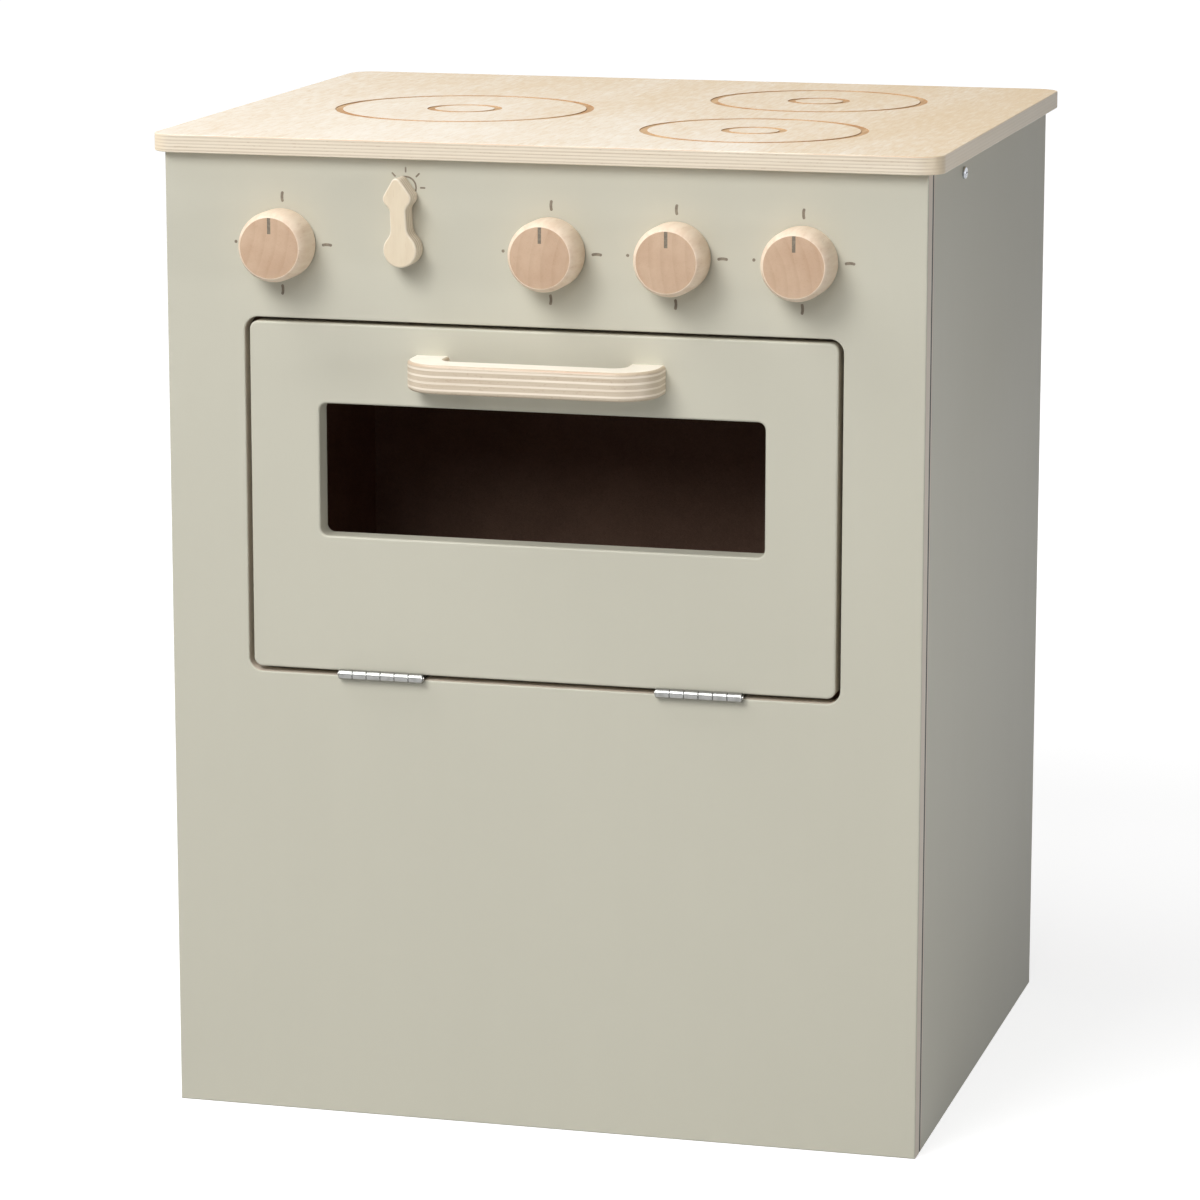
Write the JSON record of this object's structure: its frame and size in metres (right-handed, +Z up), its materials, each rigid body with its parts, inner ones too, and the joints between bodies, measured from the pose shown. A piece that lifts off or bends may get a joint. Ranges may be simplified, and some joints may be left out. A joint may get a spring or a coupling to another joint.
{
  "type": "toy stove",
  "caption": "Wooden toy stove: painted board carcass, plywood worktop engraved with hob rings, turned knobs, a light switch lever and a drop-down oven door with a window and a bar handle.",
  "frame": {"origin": "on the floor, under the middle of the object's box", "axes": "+Z up, +X to the right of someone facing the oven door, +Y from the door towards the back"},
  "size_m": [0.4, 0.364, 0.5],
  "materials": {
    "sage_paint": "satin sage-beige paint on board",
    "birch_plywood": "clear satin lacquer, plies showing on the edges",
    "beech": "oiled turned beech",
    "dowel_wood": "raw",
    "oven_board": "brown hardboard",
    "raw_board": "raw hardboard",
    "pine": "planed",
    "hinge_steel": "nickel plated",
    "screw_steel": "zinc plated",
    "catch_plastic": "moulded",
    "magnet": "ferrite"
  },
  "bodies": {
    "carcass": {"front_panel": "sage_paint", "left_side_panel": "sage_paint", "right_side_panel": "sage_paint", "worktop": "birch_plywood", "front_dowels": "dowel_wood", "shelf_dowels": "dowel_wood", "oven_floor": "oven_board", "oven_ceiling": "oven_board", "oven_left_wall": "oven_board", "oven_right_wall": "oven_board", "oven_back_wall": "oven_board", "back_panel": "raw_board", "base_panel": "raw_board", "front_top_rail": "pine", "rear_top_rail": "pine", "left_hinge_fixed_leaf": "hinge_steel", "left_hinge_pin": "hinge_steel", "right_hinge_fixed_leaf": "hinge_steel", "right_hinge_pin": "hinge_steel", "side_screws": "screw_steel", "worktop_screws": "screw_steel", "back_panel_screws": "screw_steel", "hinge_panel_screws": "screw_steel", "catch_screws": "screw_steel", "catch_housing": "catch_plastic", "catch_magnet": "magnet"},
    "door": {"oven_door": "sage_paint", "door_handle": "birch_plywood", "handle_screws": "screw_steel", "left_hinge_moving_leaf": "hinge_steel", "right_hinge_moving_leaf": "hinge_steel", "hinge_door_screws": "screw_steel", "strike_plate": "screw_steel", "strike_screws": "screw_steel"},
    "oven_knob": {"oven_knob": "beech", "oven_knob_dowel": "dowel_wood", "oven_knob_washer": "screw_steel", "oven_knob_screw": "screw_steel"},
    "left_hob_knob": {"left_hob_knob": "beech", "left_hob_knob_dowel": "dowel_wood", "left_hob_knob_washer": "screw_steel", "left_hob_knob_screw": "screw_steel"},
    "middle_hob_knob": {"middle_hob_knob": "beech", "middle_hob_knob_dowel": "dowel_wood", "middle_hob_knob_washer": "screw_steel", "middle_hob_knob_screw": "screw_steel"},
    "right_hob_knob": {"right_hob_knob": "beech", "right_hob_knob_dowel": "dowel_wood", "right_hob_knob_washer": "screw_steel", "right_hob_knob_screw": "screw_steel"},
    "light_switch": {"light_switch_lever": "birch_plywood", "light_switch_dowel": "dowel_wood", "light_switch_washer": "screw_steel", "light_switch_screw": "screw_steel"}
  },
  "joints": [
    {"name": "door_hinge", "type": "hinge", "parent": "carcass", "child": "door", "pos_m": [0, -0.15439, 0.2305], "axis": [1, 0, 0], "range_deg": [0, 168]},
    {"name": "oven_knob_turn", "type": "hinge", "parent": "carcass", "child": "oven_knob", "pos_m": [-0.132, -0.152, 0.447], "axis": [0, 1, 0], "continuous": true},
    {"name": "left_hob_knob_turn", "type": "hinge", "parent": "carcass", "child": "left_hob_knob", "pos_m": [0.006, -0.152, 0.447], "axis": [0, 1, 0], "continuous": true},
    {"name": "middle_hob_knob_turn", "type": "hinge", "parent": "carcass", "child": "middle_hob_knob", "pos_m": [0.069, -0.152, 0.447], "axis": [0, 1, 0], "continuous": true},
    {"name": "right_hob_knob_turn", "type": "hinge", "parent": "carcass", "child": "right_hob_knob", "pos_m": [0.132, -0.152, 0.447], "axis": [0, 1, 0], "continuous": true},
    {"name": "light_switch_turn", "type": "hinge", "parent": "carcass", "child": "light_switch", "pos_m": [-0.0674, -0.152, 0.447], "axis": [0, 1, 0], "continuous": true}
  ]
}
